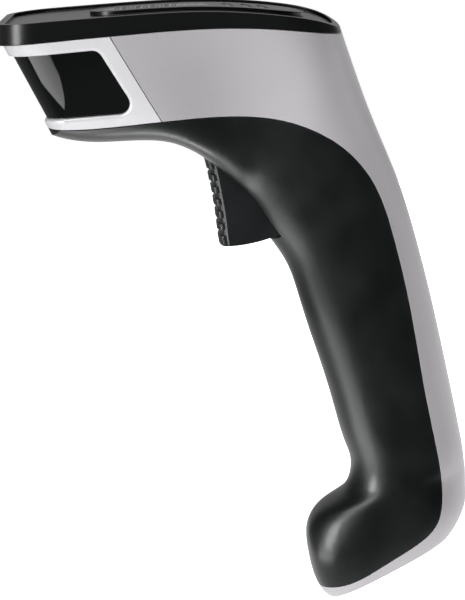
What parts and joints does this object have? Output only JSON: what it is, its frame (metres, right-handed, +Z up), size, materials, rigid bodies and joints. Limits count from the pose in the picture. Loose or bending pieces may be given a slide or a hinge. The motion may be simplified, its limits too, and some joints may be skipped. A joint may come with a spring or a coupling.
{
  "type": "handheld barcode scanner",
  "caption": "Pistol-grip handheld barcode scanner with a silver and black two-part body, wrap-round scan window, ribbed trigger and charging port in the base.",
  "frame": {"origin": "centre of the flat face under the handle, where the charging port opens", "axes": "+Z up with the head level, nose towards -X, +Y across to the right-hand side seen from behind"},
  "size_m": [0.1321, 0.062, 0.1697],
  "materials": {
    "silver_shell": "satin silver moulding",
    "bezel_shell": "bright satin silver moulding",
    "black_shell": "fine-textured black soft-touch moulding",
    "gloss_cover": "gloss black",
    "label_print": "satin grey label",
    "light_window": "smoked window",
    "clear_guide": "clear moulding",
    "dark_window": "dark red-black filter window",
    "seal_rubber": "soft foam gasket",
    "trigger_plastic": "ribbed black moulding",
    "pin_steel": "ground pin",
    "inner_plastic": "dark grey moulding",
    "spring_steel": "drawn wire",
    "plunger_plastic": "white moulding",
    "circuit_board": "green solder mask",
    "engine_case": "black die casting",
    "lens_barrel": "black barrel with glass",
    "led_clear": "clear epoxy",
    "bracket_steel": "pressed sheet",
    "screw_steel": "zinc-plated",
    "chip_epoxy": "black epoxy",
    "lead_cover": "silicone insulation",
    "flex_film": "amber polyimide film",
    "cell_wrap": "shrink-wrapped cell",
    "contact_plate": "nickel-plated contact",
    "port_shell": "drawn shell"
  },
  "bodies": {
    "scanner_body": {"aiming_led": "led_clear", "base_screws": "screw_steel", "battery_cell": "cell_wrap", "battery_contacts": "contact_plate", "battery_holder": "inner_plastic", "battery_leads": "lead_cover", "board_chips": "chip_epoxy", "board_screws": "screw_steel", "buzzer": "inner_plastic", "charge_board": "circuit_board", "charge_chips": "chip_epoxy", "charge_port": "port_shell", "engine_bracket": "bracket_steel", "engine_lens": "lens_barrel", "engine_screws": "screw_steel", "flex_cable": "flex_film", "front_bezel": "bezel_shell", "grip_housing": "black_shell", "holder_screws": "screw_steel", "illumination_leds": "led_clear", "indicator_leds": "led_clear", "indicator_lenses": "light_window", "label_plate": "label_print", "lead_connector": "plunger_plastic", "light_guide": "clear_guide", "main_board": "circuit_board", "main_housing": "silver_shell", "scan_engine": "engine_case", "scan_window": "dark_window", "top_cover": "gloss_cover", "trigger_board": "circuit_board", "trigger_bracket": "inner_plastic", "trigger_pin": "pin_steel", "trigger_spring": "spring_steel", "trigger_switch": "inner_plastic", "window_seal": "seal_rubber"},
    "trigger_lever": {"trigger": "trigger_plastic"},
    "plunger": {"switch_plunger": "plunger_plastic"}
  },
  "joints": [
    {"name": "trigger_pull", "type": "hinge", "parent": "scanner_body", "child": "trigger_lever", "pos_m": [-0.0455, 0, 0.123], "axis": [0, -1, 0], "range_deg": [0, 6], "deforming": ["trigger_spring"]},
    {"name": "switch_press", "type": "slide", "parent": "scanner_body", "child": "plunger", "axis": [1, 0, 0], "range_m": [0, 0.002]}
  ],
  "couplings": [
    {"joint": "switch_press", "follows": "trigger_pull", "m_per_rad": 0.019}
  ]
}
